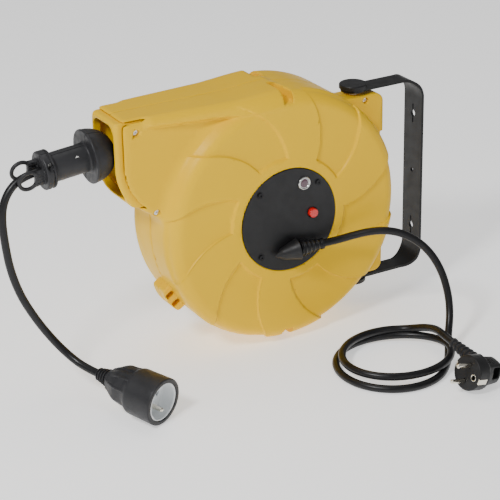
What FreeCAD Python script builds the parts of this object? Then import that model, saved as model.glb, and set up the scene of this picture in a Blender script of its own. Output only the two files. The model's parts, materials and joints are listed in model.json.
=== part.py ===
"""Wall-mounted retractable extension cord reel.

Everything is drawn about the drum's axis: X towards the wall, Y towards the
rear shell, Z up, so the faceplate looks along -Y.  save() then shifts each
piece so that x = 0 is the back face of the wall plate.  Millimetres.
"""
import FreeCAD, Part
import math
import os

V = FreeCAD.Vector
ORIGIN = V(0, 0, 0)
X_AXIS = V(1, 0, 0)
Y_AXIS = V(0, 1, 0)
Z_AXIS = V(0, 0, 1)

# ---------------------------------------------------------------- driving sizes
DRUM_TO_WALL = 197.0        # drum axis to the back face of the wall plate

# housing
CASE_R = 142.0              # round housing, outside radius
CASE_HALF = 50.0            # half of the housing's width
CASE_EDGE_R = 15.0          # rounded rim
WALL = 3.0                  # shell wall
FACE_WALL = 5.0             # thicker round face that carries the fan pattern

# fan pattern on the front face
FAN_COUNT = 6
FAN_DEPTH = 2.2
FAN_INNER_R = 70.0
FAN_OUTER_R = 136.0
FAN_SWEEP = 20.0            # degrees gained from the inner to the outer radius

# nozzle that leads the cord out
NOZZLE_X = -187.5
NOZZLE_HALF = 32.0
MOUTH_HALF = 23.0
MOUTH_TOP = 134.0
MOUTH_BOTTOM = 50.0
LIP_OUT = 4.0               # the outlet frame stands proud of the nozzle by this
LIP_HALF = 27.5

# screws that hold the two shells together: (x, z) and the y under each head
CASE_SCREW_R = 2.0
CASE_HEAD_R = 3.2
WELL_R = 3.4
CASE_SCREW_END = 8.5
NOZZLE_SCREWS = ((-168.2, 127.0), (-148.0, 35.0))
BLOCK_SCREWS = ((120.5, 101.5), (120.5, -101.5))
RIM_SCREWS = ((-0.5, 135.0), (0.5, -135.0))
NOZZLE_HEAD_Y = -26.0
BLOCK_HEAD_Y = -9.0
RIM_HEAD_Y = -13.0

# D-shaped recess in the rim, where a rim screw is reached from outside
RECESS_FLOOR = 131.0
RECESS_LEFT = -4.2
RECESS_RIGHT = 10.8
RECESS_BACK = 12.0

# pivot block and bracket
PIVOT_X = 113.0
BLOCK_END_X = 146.5
BLOCK_HALF_Z = 110.0
BLOCK_HALF_Y = 15.0
BLOCK_CORNER_R = 13.0
STRAP_T = 3.0
ARM_INNER_Z = 111.5
ARM_HALF = 11.0
PLATE_HALF = 17.0
STRAP_BEND_R = 23.0         # outside radius of the two bends
HOLE_SPACING = 137.0
KEYHOLE_R = 4.0
KEYSLOT_HALF = 1.3
KEYSLOT_LENGTH = 22.0
CENTRE_HOLE_R = 2.6
PIVOT_BOLT_R = 4.0
PIVOT_BUSH_R = 5.2
PIVOT_BUSH_LENGTH = 22.0
KNOB_R = 15.5
KNOB_HEIGHT = 5.0
RUN = 0.05                  # radial running clearance

# faceplate
SEAT_R = 58.5
SEAT_DEPTH = 3.0
FACEPLATE_R = 58.2
PORT_R = 36.0
FACE_SCREW = 36.0           # the four screws lie at (+-36, +-36)
FACE_SCREW_R = 1.6
LENS_AT = (18.3, 38.7)
LENS_R = 6.0
BUTTON_AT = (28.6, 2.6)
BUTTON_R = 5.2
NOSE_TIP = V(-21.5, -56.0, -35.5)
BOOT_START = V(4.5, -61.0, -31.0)
LEAD_EXIT = V(34.5, -62.0, -31.5)

# drum and its shaft
AXLE_R = 8.0
BUSH_R = 11.0
HUB_R = 15.0
CORE_R = 72.0
FLANGE_R = 124.0
FLANGE_T = 3.0
DRUM_FRONT_Y = -34.0
DRUM_REAR_Y = 30.0
PACK_R = 115.0
RING_RADII = (42.0, 47.5, 53.0)     # outside radii of the three slip rings
SLIP_RING_WIDTH = 3.2
BRUSH_ANGLES = (200, 260, 320)
BRUSH_R = 2.0
DRUM_SCREW_R = 1.2
DRUM_SCREW_ANGLES = (30, 150, 270)
RATCHET_TEETH = 12
RATCHET_R = 86.0
RATCHET_ROOT_R = 80.0
PAWL_PIN_R = 3.0
PAWL_PIN_AT = (104.0, 118.0)        # radius and angle about the drum
PAWL_ARM = 22.0
PAWL_LEAN = 10.0

# cord
CORD_D = 8.5
CORD_R = CORD_D / 2

# ball stop on the cord
STOP_TILT = math.radians(5.3)
STOP_ROLL = -16.0                   # turn of the ball stop about its own axis
STOP_FACE = V(-212.0, 0, 100.6)
STOP_OUT = V(-math.cos(STOP_TILT), 0, -math.sin(STOP_TILT))
STOP_BALL_R = 28.5
STOP_RIM = 3.0
BARREL_R = 15.5
BARREL_END = 40.0
COLLAR_R = 20.5
COLLAR_END = 51.0
RING_AT = 68.0
RING_R = 10.0
RING_WIRE_R = 2.1
RING_SIDE = 9.5
CORD_BORE_R = 4.3
STOP_SCREWS = ((14.0, 9.5), (30.0, -9.5), (45.5, 13.0), (45.5, -13.0))
STOP_SCREW_SEAT = 8.0

# floor that the loose leads lie on
FLOOR_Z = -146.5

# coupling socket on the output cord
COUPLING_END = V(-239.0, -62.0, -114.0)
COUPLING_AXIS = V(0.40, -0.913, -0.08).normalize()
CONTACT_SIDE = 9.5
EARTH_DOWN = 10.0
PIN_R = 2.4

# mains plug, from the middle of its face
PLUG_FACE = V(95.2, -247.0, -124.0)
PLUG_AXIS = V(-0.957, -0.13, 0.26).normalize()
PLUG_CORD_AXIS = V(-0.081, 0.976, 0.19).normalize()
PLUG_PIN_LINE = PLUG_AXIS.cross(PLUG_CORD_AXIS).normalize()
PLUG_BOOT_AT = 31.0
PLUG_NECK = 20.0
PLUG_BOOT_LENGTH = 37.0

# coil of the mains lead: a lower and an upper turn
LOWER_TURN = V(60.0, -158.0, FLOOR_Z)
LOWER_TURN_R = 60.0
UPPER_TURN = V(70.0, -155.0, FLOOR_Z + 8.4)
UPPER_TURN_RX = 62.5
UPPER_TURN_RY = 54.5
TURN_HEIGHT = 8.6


# ---------------------------------------------------------------- helpers
def save(name, shape):
    """Write one node, shifted from the drum axis to the wall plate."""
    placed = shape.copy()
    placed.translate(V(-DRUM_TO_WALL, 0, 0))
    placed.exportStep("parts/" + name + ".step")


def group(shapes):
    """Several separate solids in one node."""
    return Part.makeCompound(shapes)


def fuse(shapes):
    """One solid out of overlapping ones."""
    result = shapes[0]
    for piece in shapes[1:]:
        result = result.fuse(piece)
    return result.removeSplitter()


def cyl(radius, y0, y1, x=0.0, z=0.0):
    """Cylinder along Y."""
    return Part.makeCylinder(radius, y1 - y0, V(x, y0, z), Y_AXIS)


def tube(outer, inner, y0, y1, x=0.0, z=0.0):
    """Tube along Y."""
    return cyl(outer, y0, y1, x, z).cut(cyl(inner, y0 - 1, y1 + 1, x, z))


def upright(radius, z0, z1, x=0.0):
    """Cylinder along Z, in the plane y = 0."""
    return Part.makeCylinder(radius, z1 - z0, V(x, 0, z0))


def rod(radius, start, direction, length):
    """Cylinder along any direction."""
    return Part.makeCylinder(radius, length, start, direction)


def block(x0, x1, y0, y1, z0, z1):
    """Box from its limits."""
    return Part.makeBox(x1 - x0, y1 - y0, z1 - z0, V(x0, y0, z0))


def half_block(x0, x1, depth, side, z0, z1):
    """Box from the parting plane to depth on one side of it."""
    low, high = sorted((0.0, side * depth))
    return block(x0, x1, low, high, z0, z1)


def turned(profile, axis_point, axis):
    """Solid of revolution from (distance along the axis, radius) pairs."""
    side = axis.cross(Y_AXIS)
    if side.Length < 0.2:
        side = axis.cross(Z_AXIS)
    side.normalize()
    points = [axis_point + axis * along + side * radius for along, radius in profile]
    face = Part.Face(Part.makePolygon(points + [points[0]]))
    return face.revolve(axis_point, axis, 360)


def ribbed(length, ribs, start_r, end_r, depth):
    """Profile of a tapered, ribbed strain relief, as pairs for turned()."""
    pitch = (length - 2) / ribs
    profile = [(0, 0), (0, start_r)]
    for index in range(ribs):
        begin = 1.0 + pitch * index
        radius = start_r + (end_r - start_r) * (index + 1) / ribs
        profile += [(begin, radius), (begin + pitch * 0.2, radius - depth),
                    (begin + pitch * 0.5, radius - depth), (begin + pitch * 0.7, radius)]
    return profile + [(length, end_r), (length, 0)]


def closed_face(edges):
    """Face inside a closed run of edges."""
    return Part.Face(Part.Wire(edges))


def line(a, b):
    return Part.LineSegment(a, b).toShape()


def arc(a, middle, b):
    return Part.Arc(a, middle, b).toShape()


def polar(radius, degrees, y=0.0):
    """Point on a plane of constant y."""
    angle = math.radians(degrees)
    return V(radius * math.cos(angle), y, radius * math.sin(angle))


def rim_edges(shape, y, radius):
    """Circular edges of a turned body at one y and radius."""
    found = []
    for edge in shape.Edges:
        curve = edge.Curve
        if isinstance(curve, Part.Circle):
            if abs(curve.Center.y - y) < 0.01 and abs(curve.Radius - radius) < 0.01:
                found.append(edge)
    return found


def both_ends(shape):
    """A piece at the top pivot and its mirror image at the bottom one."""
    return group([shape, shape.mirror(ORIGIN, Z_AXIS)])


# ---------------------------------------------------------------- housing
def round_case(radius, y_face, edge_r):
    """Half of the round housing, from the parting plane to its face at y_face."""
    low, high = sorted((0.0, y_face))
    body = cyl(radius, low, high)
    return body.makeFillet(edge_r, rim_edges(body, y_face, radius))


def nozzle_face(inset, y):
    """Side view of the nozzle, drawn smaller by inset, as a face at y."""
    corner_r = 10.0
    top = CASE_R - inset
    left = NOZZLE_X + inset
    slant = inset * 0.8
    a = V(0, y, top)
    b = V(left + corner_r, y, top)
    c = V(left, y, top - corner_r)
    d = V(left, y, 92)
    e = V(-151 + slant, y, 31 + slant)
    f = V(-90, y, 0)
    bulge = corner_r * (1 - math.sqrt(0.5))
    corner = V(left + bulge, y, top - bulge)
    belly = V(-179.5 + slant, y, 60 + slant)
    edges = [line(a, b), arc(b, corner, c), line(c, d), arc(d, belly, e)]
    return closed_face(edges + [line(e, f), line(f, a)])


def nozzle_solid(inset, half, side):
    """Half of the nozzle: side is -1 in front of the parting plane, +1 behind it."""
    return nozzle_face(inset, 0).extrude(V(0, side * half, 0))


def pivot_block(side):
    """Half of the block that the bracket's arms hold."""
    body = half_block(60, BLOCK_END_X, BLOCK_HALF_Y, side, -BLOCK_HALF_Z, BLOCK_HALF_Z)
    corners = []
    for edge in body.Edges:
        ends = [vertex.Point for vertex in edge.Vertexes]
        along_y = abs(ends[0].y - ends[1].y) > 1
        if along_y and ends[0].x > 100:
            corners.append(edge)
    body = body.makeFillet(BLOCK_CORNER_R, corners)
    notch_z = 57.0
    notch_half = 5.0
    for z in (-notch_z, notch_z):
        body = body.cut(block(139, 150, -20, 20, z - notch_half, z + notch_half))
    return body


def lug(side):
    """Half of the eared lug low on the outlet side."""
    lug_angle = 213.0
    body = half_block(-8, 8, 14, side, -17, 17)
    for z in (-9.8, 3.2):
        body = body.cut(block(-3.8, 5.5, -20, 20, z, z + 6.6))
    body.rotate(ORIGIN, Y_AXIS, -lug_angle)
    body.translate(polar(146, lug_angle))
    return body.cut(cyl(CASE_R - 1, -60, 60))


def recess(side):
    """The rim recess on one shell: flat on its left, rounded on its right."""
    back = side * RECESS_BACK
    ahead = side * (CASE_HALF + 2)
    bow = side * 33.0
    neck = 3.4
    a = V(RECESS_LEFT, back, RECESS_FLOOR)
    b = V(neck, back, RECESS_FLOOR)
    c = V(RECESS_RIGHT, bow, RECESS_FLOOR)
    d = V(neck, ahead, RECESS_FLOOR)
    e = V(RECESS_LEFT, ahead, RECESS_FLOOR)
    face = closed_face([line(a, b), arc(b, c, d), line(d, e), line(e, a)])
    return face.extrude(V(0, 0, 20))


def recess_walls(side):
    """Material left round the rim recess and the screw behind it."""
    return half_block(RECESS_LEFT - WALL, RECESS_RIGHT + WALL, 60, side, RECESS_FLOOR - WALL, 150)


def half_turned(shape):
    """The same shape turned half round the drum axis."""
    copy = shape.copy()
    copy.rotate(ORIGIN, Y_AXIS, 180)
    return copy


def case_screw_list():
    """Every case screw as (x, z, y under its head)."""
    places = [(x, z, NOZZLE_HEAD_Y) for x, z in NOZZLE_SCREWS]
    places += [(x, z, BLOCK_HEAD_Y) for x, z in BLOCK_SCREWS]
    return places + [(x, z, RIM_HEAD_Y) for x, z in RIM_SCREWS]


def screw_well(x, z, head_y, side):
    """Screw hole: a head well on the front, a blind pilot behind the parting plane."""
    if side > 0:
        return cyl(CASE_SCREW_R, -1, CASE_SCREW_END + 0.5, x, z)
    well = cyl(WELL_R, -60, head_y, x, z)
    return well.fuse(cyl(CASE_SCREW_R, head_y - 1, 1, x, z))


def hollow(side, face_wall):
    """The room inside one shell, less its screw posts and recess walls."""
    room = fuse([round_case(CASE_R - WALL, side * (CASE_HALF - face_wall), CASE_EDGE_R - 4),
                 nozzle_solid(WALL, NOZZLE_HALF - WALL, side),
                 half_block(90, BLOCK_END_X - WALL, BLOCK_HALF_Y - WALL, side, -50, 50)])
    post_r = 5.5
    for x, z in NOZZLE_SCREWS:
        room = room.cut(cyl(post_r, -40, 40, x, z))
    walls = recess_walls(side)
    return room.cut(walls).cut(half_turned(walls))


def shell(side, face_wall):
    """Front (side -1) or rear (side +1) shell."""
    outer = fuse([round_case(CASE_R, side * CASE_HALF, CASE_EDGE_R), nozzle_solid(0, NOZZLE_HALF, side),
                  pivot_block(side), lug(side)])
    body = outer.cut(hollow(side, face_wall))
    body = body.cut(frame_band(LIP_HALF + 0.1, 0.1))
    bore = upright(PIVOT_BUSH_R, BLOCK_HALF_Z - PIVOT_BUSH_LENGTH - 3, BLOCK_HALF_Z + 1, PIVOT_X)
    body = body.cut(both_ends(bore))
    notch = recess(side)
    body = body.cut(notch).cut(half_turned(notch))
    for x, z, head_y in case_screw_list():
        body = body.cut(screw_well(x, z, head_y, side))
    return body


def frame_band(half, spare):
    """The strip of nozzle edge that the outlet frame takes the place of."""
    band = nozzle_face(-LIP_OUT, -half).extrude(V(0, 2 * half, 0))
    core = nozzle_face(WALL + 3, -half - 1).extrude(V(0, 2 * half + 2, 0))
    region = block(-200, -156, -half, half, MOUTH_BOTTOM - 7 - spare, MOUTH_TOP + 5 + spare)
    return band.cut(core).common(region)


def fan_pocket(index):
    """One of the curved recesses between the fan's raised blades."""
    start = 60 * index + 30
    sides = []
    for offset in (0, 30):
        inner = polar(FAN_INNER_R, start + offset)
        middle = polar(105, start + offset + FAN_SWEEP * 0.32)
        outer = polar(FAN_OUTER_R, start + offset + FAN_SWEEP)
        sides.append((inner, middle, outer))
    first, second = sides
    inner_arc = arc(first[0], polar(FAN_INNER_R, start + 15), second[0])
    outer_arc = arc(second[2], polar(FAN_OUTER_R, start + 15 + FAN_SWEEP), first[2])
    edges = [inner_arc, arc(*second), outer_arc, arc(first[2], first[1], first[0])]
    face = closed_face(edges)
    face.translate(V(0, -CASE_HALF - 1, 0))
    return face.extrude(V(0, FAN_DEPTH + 1, 0))


def face_screw_places():
    return [(x, z) for x in (-FACE_SCREW, FACE_SCREW) for z in (-FACE_SCREW, FACE_SCREW)]


def front_shell():
    body = shell(-1, FACE_WALL)
    for index in range(FAN_COUNT):
        body = body.cut(fan_pocket(index))
    body = body.cut(cyl(SEAT_R, -60, -CASE_HALF + SEAT_DEPTH))
    body = body.cut(cyl(PORT_R, -60, -30))
    for x, z in face_screw_places():
        body = body.cut(cyl(FACE_SCREW_R, -50, -44, x, z))
    return body.removeSplitter()


def rear_shell():
    face_wall = 4.0
    boss = tube(18, AXLE_R, 40, CASE_HALF - face_wall + 0.5)
    body = shell(1, face_wall).fuse(boss)
    body = body.cut(cyl(AXLE_R, 30, 47))
    body = body.cut(cyl(4.1, 30, 60))
    groove = tube(118, 84, CASE_HALF - 1.6, CASE_HALF + 1)
    return body.cut(groove).removeSplitter()


def outlet_frame():
    """Rounded frame round the mouth, with the slot that the cord runs out of."""
    body = frame_band(LIP_HALF, 0.0)
    slot = block(-200, -140, -MOUTH_HALF, MOUTH_HALF, MOUTH_BOTTOM, MOUTH_TOP)
    return body.cut(slot)


def case_screws():
    screws = []
    for x, z, head_y in case_screw_list():
        shank = cyl(CASE_SCREW_R, head_y - 0.5, CASE_SCREW_END, x, z)
        head = cyl(CASE_HEAD_R, head_y - 2.4, head_y, x, z)
        socket = cyl(1.1, head_y - 3, head_y - 1.2, x, z)
        screws.append(head.fuse(shank).cut(socket).removeSplitter())
    return group(screws)


# ---------------------------------------------------------------- bracket
def strap_run(y, inset):
    """The bent strap's outer (inset 0) or inner (inset STRAP_T) line, tail to tail."""
    z = ARM_INNER_Z + STRAP_T - inset
    x = DRUM_TO_WALL - inset
    r = STRAP_BEND_R - inset
    k = r * (1 - math.sqrt(0.5))
    upper = [line(V(PIVOT_X, y, z), V(x - r, y, z)),
             arc(V(x - r, y, z), V(x - k, y, z - k), V(x, y, z - r))]
    lower = [arc(V(x, y, r - z), V(x - k, y, k - z), V(x - r, y, -z)),
             line(V(x - r, y, -z), V(PIVOT_X, y, -z))]
    return upper + [line(V(x, y, z - r), V(x, y, r - z))] + lower


def strap_side(y):
    """Bent strap seen from the side, as a face."""
    outer_z = ARM_INNER_Z + STRAP_T
    ends = [line(V(PIVOT_X, y, z * ARM_INNER_Z), V(PIVOT_X, y, z * outer_z)) for z in (1, -1)]
    edges = Part.sortEdges(strap_run(y, 0) + strap_run(y, STRAP_T) + ends)[0]
    return closed_face(edges)


def keyhole(z):
    """Round hole with a narrow slot above and below it."""
    x = DRUM_TO_WALL - 10
    hole = rod(KEYHOLE_R, V(x, 0, z), X_AXIS, 20)
    slot = block(x, x + 20, -KEYSLOT_HALF, KEYSLOT_HALF, z - KEYSLOT_LENGTH / 2, z + KEYSLOT_LENGTH / 2)
    return hole.fuse(slot)


def wall_bracket():
    strap = strap_side(-PLATE_HALF).extrude(V(0, 2 * PLATE_HALF, 0))
    bend_x = DRUM_TO_WALL - STRAP_BEND_R
    wide_x = bend_x + 18
    corners = [(PIVOT_X - 1, -ARM_HALF), (bend_x, -ARM_HALF), (wide_x, -PLATE_HALF), (200, -PLATE_HALF),
               (200, PLATE_HALF), (wide_x, PLATE_HALF), (bend_x, ARM_HALF), (PIVOT_X - 1, ARM_HALF)]
    points = [V(x, y, -130) for x, y in corners]
    outline = Part.Face(Part.makePolygon(points + [points[0]])).extrude(V(0, 0, 260))
    body = strap.common(outline)
    eye_r = 14.0
    eye = upright(eye_r, ARM_INNER_Z, ARM_INNER_Z + STRAP_T, PIVOT_X)
    body = fuse([body, eye, eye.mirror(ORIGIN, Z_AXIS)])
    body = body.cut(upright(PIVOT_BOLT_R, -130, 130, PIVOT_X))
    for z in (-HOLE_SPACING / 2, HOLE_SPACING / 2):
        body = body.cut(keyhole(z))
    body = body.cut(rod(CENTRE_HOLE_R, V(DRUM_TO_WALL - 10, 0, 0), X_AXIS, 20))
    return body.removeSplitter()


def pivot_knob():
    """Flat round cap over the upper pivot bolt."""
    z = ARM_INNER_Z + STRAP_T
    cap = upright(KNOB_R, z, z + KNOB_HEIGHT, PIVOT_X)
    top_edges = [edge for edge in cap.Edges if abs(edge.CenterOfMass.z - z - KNOB_HEIGHT) < 0.01]
    return cap.makeFillet(1.5, top_edges).cut(upright(6.5, z, z + 3.4, PIVOT_X))


def pivot_bolt():
    z = ARM_INNER_Z + STRAP_T
    shank = upright(PIVOT_BOLT_R, z - 27.9, z + 0.1, PIVOT_X)
    head = upright(6.0, z, z + 3.2, PIVOT_X)
    return shank.fuse(head).removeSplitter()


def pivot_bush():
    """Flanged bush pressed into the housing; the bolt turns in it."""
    sleeve = upright(PIVOT_BUSH_R, BLOCK_HALF_Z - PIVOT_BUSH_LENGTH, BLOCK_HALF_Z, PIVOT_X)
    flange_disc = upright(10.0, BLOCK_HALF_Z, BLOCK_HALF_Z + 1.0, PIVOT_X)
    bore = upright(PIVOT_BOLT_R + RUN, BLOCK_HALF_Z - 25, BLOCK_HALF_Z + 5, PIVOT_X)
    return sleeve.fuse(flange_disc).cut(bore).removeSplitter()


# ---------------------------------------------------------------- faceplate
def faceplate():
    plate = cyl(FACEPLATE_R, -50.5, -47.0)
    plate = plate.makeFillet(0.8, rim_edges(plate, -50.5, FACEPLATE_R))
    along = (BOOT_START - NOSE_TIP).normalize()
    length = BOOT_START.distanceToPoint(NOSE_TIP)
    nose = turned([(0, 0), (0, 1.2), (8, 6.5), (length, 12.0), (length, 0)], NOSE_TIP, along)
    body = plate.fuse(nose.common(block(-60, 60, -90, -48, -70, 0)))
    body = body.cut(cyl(LENS_R, -60, -40, *LENS_AT))
    body = body.cut(cyl(6.3, -60, -40, *BUTTON_AT))
    for x, z in face_screw_places():
        body = body.cut(cyl(1.8, -60, -40, x, z))
    return body.removeSplitter()


def faceplate_screws():
    screws = []
    for x, z in face_screw_places():
        head = cyl(3.2, -52.3, -50.5, x, z).cut(cyl(1.3, -53, -51.4, x, z))
        shank = cyl(FACE_SCREW_R, -51.0, -45.0, x, z)
        screws.append(head.fuse(shank).removeSplitter())
    return group(screws)


def pilot_lens():
    x, z = LENS_AT
    bezel = tube(7.4, 4.6, -51.8, -50.5, x, z)
    body = cyl(LENS_R, -50.6, -47.0, x, z)
    dome = turned([(0, 0.0), (0, 4.6), (1.0, 4.2), (1.8, 2.6), (2.1, 0.0)], V(x, -50.5, z), V(0, -1, 0))
    return fuse([bezel, body, dome])


def reset_button():
    cap = cyl(BUTTON_R, -55.0, -46.0, *BUTTON_AT)
    cap = cap.makeFillet(1.2, rim_edges(cap, -55.0, BUTTON_R))
    stem = cyl(2.0, -46.5, -42.0, *BUTTON_AT)
    return cap.fuse(stem).removeSplitter()


def thermal_cutout():
    """Breaker body behind the faceplate, with the well that the button slides in."""
    x, z = BUTTON_AT
    body = block(x - 9, x + 6.9, -47.0, -38.5, z - 8, z + 8)
    body = body.common(cyl(PORT_R - 1, -60, -30))
    body = body.cut(cyl(BUTTON_R + RUN, -48, -43.0, x, z))
    return body.cut(cyl(2.0 + RUN, -45, -38, x, z)).removeSplitter()


def button_spring():
    """Small compression spring under the button's cap."""
    return tube(3.6, 2.6, -45.9, -43.0, *BUTTON_AT)


def boot_direction():
    return (LEAD_EXIT - BOOT_START).normalize()


def lead_boot():
    """Ribbed, tapered strain relief of the mains lead."""
    length = LEAD_EXIT.distanceToPoint(BOOT_START)
    return turned(ribbed(length, 5, 10.3, 6.2, 1.5), BOOT_START, boot_direction())


# ---------------------------------------------------------------- shaft and brushes
def main_axle():
    body = cyl(AXLE_R, -40.9, 46.0)
    stud = cyl(4.0, 45.0, 55.0)
    return body.fuse(stud).removeSplitter()


def axle_nut():
    corners = [polar(8.0, 60 * index, CASE_HALF) for index in range(6)]
    body = Part.Face(Part.makePolygon(corners + [corners[0]])).extrude(V(0, 4.4, 0))
    return body.cut(cyl(4.0, 40, 60))


def brush_places():
    """One brush over the middle of each slip ring."""
    places = []
    for outer, angle in zip(RING_RADII, BRUSH_ANGLES):
        middle = polar(outer - SLIP_RING_WIDTH / 2, angle)
        places.append((middle.x, middle.z))
    return places


def brush_holder():
    """Moulded carrier on the inside of the front shell."""
    body = tube(56, 37, -45.0, -39.4)
    for x, z in brush_places():
        body = body.cut(cyl(BRUSH_R, -50, -30, x, z))
    return body


def carbon_brushes():
    return group([cyl(BRUSH_R, -44.0, -38.5, x, z) for x, z in brush_places()])


def terminal_block():
    body = block(-30, -10, -47.0, -38, -12, 12)
    for z in (-8, 0, 8):
        body = body.cut(cyl(1.8, -50, -42, -20, z))
    return body


# ---------------------------------------------------------------- drum
def drum_screw_places():
    middles = [polar(CORE_R - 1.5, angle) for angle in DRUM_SCREW_ANGLES]
    return [(middle.x, middle.z) for middle in middles]


def drum_core():
    y0 = DRUM_FRONT_Y + FLANGE_T
    y1 = DRUM_REAR_Y - FLANGE_T
    rim = tube(CORE_R, CORE_R - 3, y0, y1)
    web = tube(CORE_R - 2, HUB_R - 1, -4, -1)
    hub = tube(HUB_R, BUSH_R, y0, y1)
    body = fuse([rim, web, hub])
    for x, z in drum_screw_places():
        body = body.cut(cyl(DRUM_SCREW_R, y0 - 1, y0 + 8, x, z))
    return body


def flange(y):
    """Drum cheek with a ring of lightening holes."""
    body = tube(FLANGE_R, BUSH_R, y, y + FLANGE_T)
    for angle in range(0, 360, 60):
        middle = polar(96, angle)
        body = body.cut(cyl(14, y - 1, y + FLANGE_T + 1, middle.x, middle.z))
    return body


def drum_front_flange():
    body = flange(DRUM_FRONT_Y)
    for x, z in drum_screw_places():
        body = body.cut(cyl(DRUM_SCREW_R, DRUM_FRONT_Y - 1, DRUM_FRONT_Y + 5, x, z))
    return body


def drum_bushes():
    return group([tube(BUSH_R, AXLE_R + RUN, y, y + 10) for y in (DRUM_FRONT_Y, DRUM_REAR_Y - 10)])


def drum_screws():
    screws = []
    for x, z in drum_screw_places():
        head = cyl(2.4, DRUM_FRONT_Y - 1.2, DRUM_FRONT_Y, x, z)
        shank = cyl(DRUM_SCREW_R, DRUM_FRONT_Y - 0.5, DRUM_FRONT_Y + 10, x, z)
        screws.append(head.fuse(shank).removeSplitter())
    return group(screws)


def slip_ring_disc():
    return tube(56, BUSH_R + 2, -37.0, DRUM_FRONT_Y)


def slip_rings():
    return group([tube(outer, outer - SLIP_RING_WIDTH, -38.2, -37.0) for outer in RING_RADII])


def mainspring():
    """Coiled strip spring as one closed ring of its outer shape."""
    return tube(60, 24, 31.0, 40.5)


def spring_cover():
    pan = cyl(66, DRUM_REAR_Y, 42.5).cut(cyl(63, DRUM_REAR_Y, 41.0))
    return pan.cut(cyl(19, 20, 60))


def spring_arbor():
    return tube(13.0, AXLE_R, 31.0, 39.9)


def ratchet_ring():
    """Toothed ring that the pawl drops towards."""
    points = []
    for index in range(RATCHET_TEETH):
        angle = 360.0 * index / RATCHET_TEETH
        points.append(polar(RATCHET_R, angle, DRUM_REAR_Y))
        points.append(polar(RATCHET_ROOT_R, angle + 1.5, DRUM_REAR_Y))
        points.append(polar(RATCHET_ROOT_R, angle + 12, DRUM_REAR_Y))
    plate = Part.Face(Part.makePolygon(points + [points[0]])).extrude(V(0, 5, 0))
    return plate.cut(cyl(68, 20, 60))


def cord_pack():
    """The wound cord as one closed ring of its outer shape."""
    return tube(PACK_R, CORE_R, DRUM_FRONT_Y + FLANGE_T, DRUM_REAR_Y - FLANGE_T)


# ---------------------------------------------------------------- pawl
def pawl_pin():
    pin = polar(*PAWL_PIN_AT)
    return cyl(PAWL_PIN_R, 31.0, 46.0, pin.x, pin.z)


def pawl():
    """Weighted dog that turns on its pin beside the toothed ring."""
    pin = polar(*PAWL_PIN_AT)
    eye = cyl(7.0, 31.0, 35.0)
    arm = block(0, PAWL_ARM, 31.0, 35.0, -3.0, 3.0)
    arm.rotate(ORIGIN, Y_AXIS, PAWL_LEAN)
    body = fuse([eye, arm]).cut(cyl(PAWL_PIN_R + RUN, 20, 50))
    body.translate(pin)
    return body


def pawl_spring():
    pin = polar(*PAWL_PIN_AT)
    return tube(6.0, PAWL_PIN_R, 35.6, 38.6, pin.x, pin.z)


# ---------------------------------------------------------------- ball stop
def stop_point(along, across=0.0):
    """Point on the ball stop's axis, or beside it along Y."""
    return STOP_FACE + STOP_OUT * along + V(0, across, 0)


def stop_screw_point(along, height, y):
    normal = V(STOP_OUT.z, 0, -STOP_OUT.x)
    return STOP_FACE + STOP_OUT * along + normal * height + V(0, y, 0)


def stopper_half(side):
    back = stop_point(-STOP_RIM)
    ball = Part.makeSphere(STOP_BALL_R, back).cut(rod(STOP_BALL_R + 5, back, STOP_OUT, 60))
    body = fuse([ball, rod(STOP_BALL_R + 0.5, back, STOP_OUT, STOP_RIM),
                 rod(BARREL_R, stop_point(-1), STOP_OUT, BARREL_END + 1),
                 rod(COLLAR_R, stop_point(BARREL_END), STOP_OUT, COLLAR_END - BARREL_END)])
    body = body.common(half_block(-400, 0, 60, side, 0, 200))
    cheek_half = 3.2
    cheek = sorted((side * (RING_SIDE - cheek_half), side * (RING_SIDE + cheek_half)))
    prong = rod(8.5, stop_point(COLLAR_END - 1, side * RING_SIDE), STOP_OUT, 10)
    prong = prong.common(block(-400, 0, cheek[0], cheek[1], 0, 200))
    ring = Part.makeTorus(RING_R, RING_WIRE_R, stop_point(RING_AT, side * RING_SIDE), Y_AXIS)
    body = body.fuse(prong).fuse(ring)
    body = body.cut(rod(CORD_BORE_R, stop_point(-60), STOP_OUT, 140))
    for along, height in STOP_SCREWS:
        seat = stop_screw_point(along, height, -40)
        body = body.cut(rod(1.5, seat, Y_AXIS, 80))
        body = body.cut(rod(3.1, seat, Y_AXIS, 40 - STOP_SCREW_SEAT))
    body = body.removeSplitter()
    body.rotate(STOP_FACE, STOP_OUT, STOP_ROLL)
    return body


def stopper_screws():
    screws = []
    for along, height in STOP_SCREWS:
        seat = stop_screw_point(along, height, -STOP_SCREW_SEAT - 2.4)
        head = rod(3.0, seat, Y_AXIS, 2.4).cut(rod(1.1, seat, Y_AXIS, 1.3))
        shank = rod(1.5, stop_screw_point(along, height, -STOP_SCREW_SEAT - 0.5), Y_AXIS, 14)
        screw = head.fuse(shank).removeSplitter()
        screw.rotate(STOP_FACE, STOP_OUT, STOP_ROLL)
        screws.append(screw)
    return group(screws)


# ---------------------------------------------------------------- free cords
def plug_point(along, towards_cord=0.0, pin_line=0.0):
    """Point in the plug's own directions, from the middle of its face."""
    return PLUG_FACE + PLUG_AXIS * along + PLUG_CORD_AXIS * towards_cord + PLUG_PIN_LINE * pin_line


BOOT_TIP = plug_point(-PLUG_BOOT_AT, PLUG_NECK + PLUG_BOOT_LENGTH)

# the free cord, from the ball stop to the coupling socket
OUTPUT_ROUTE = [stop_point(COLLAR_END), stop_point(COLLAR_END + 16.3), V(-294.5, -0.5, 86.5),
                V(-305, -1.5, 72), V(-309, -3, 54), V(-308.5, -5, 29), V(-305.5, -6, -1),
                V(-297.5, -8, -31), V(-285, -10.5, -58), V(-271, -14.5, -82.5), V(-257.5, -25, -102),
                COUPLING_END - COUPLING_AXIS * 20, COUPLING_END]

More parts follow.
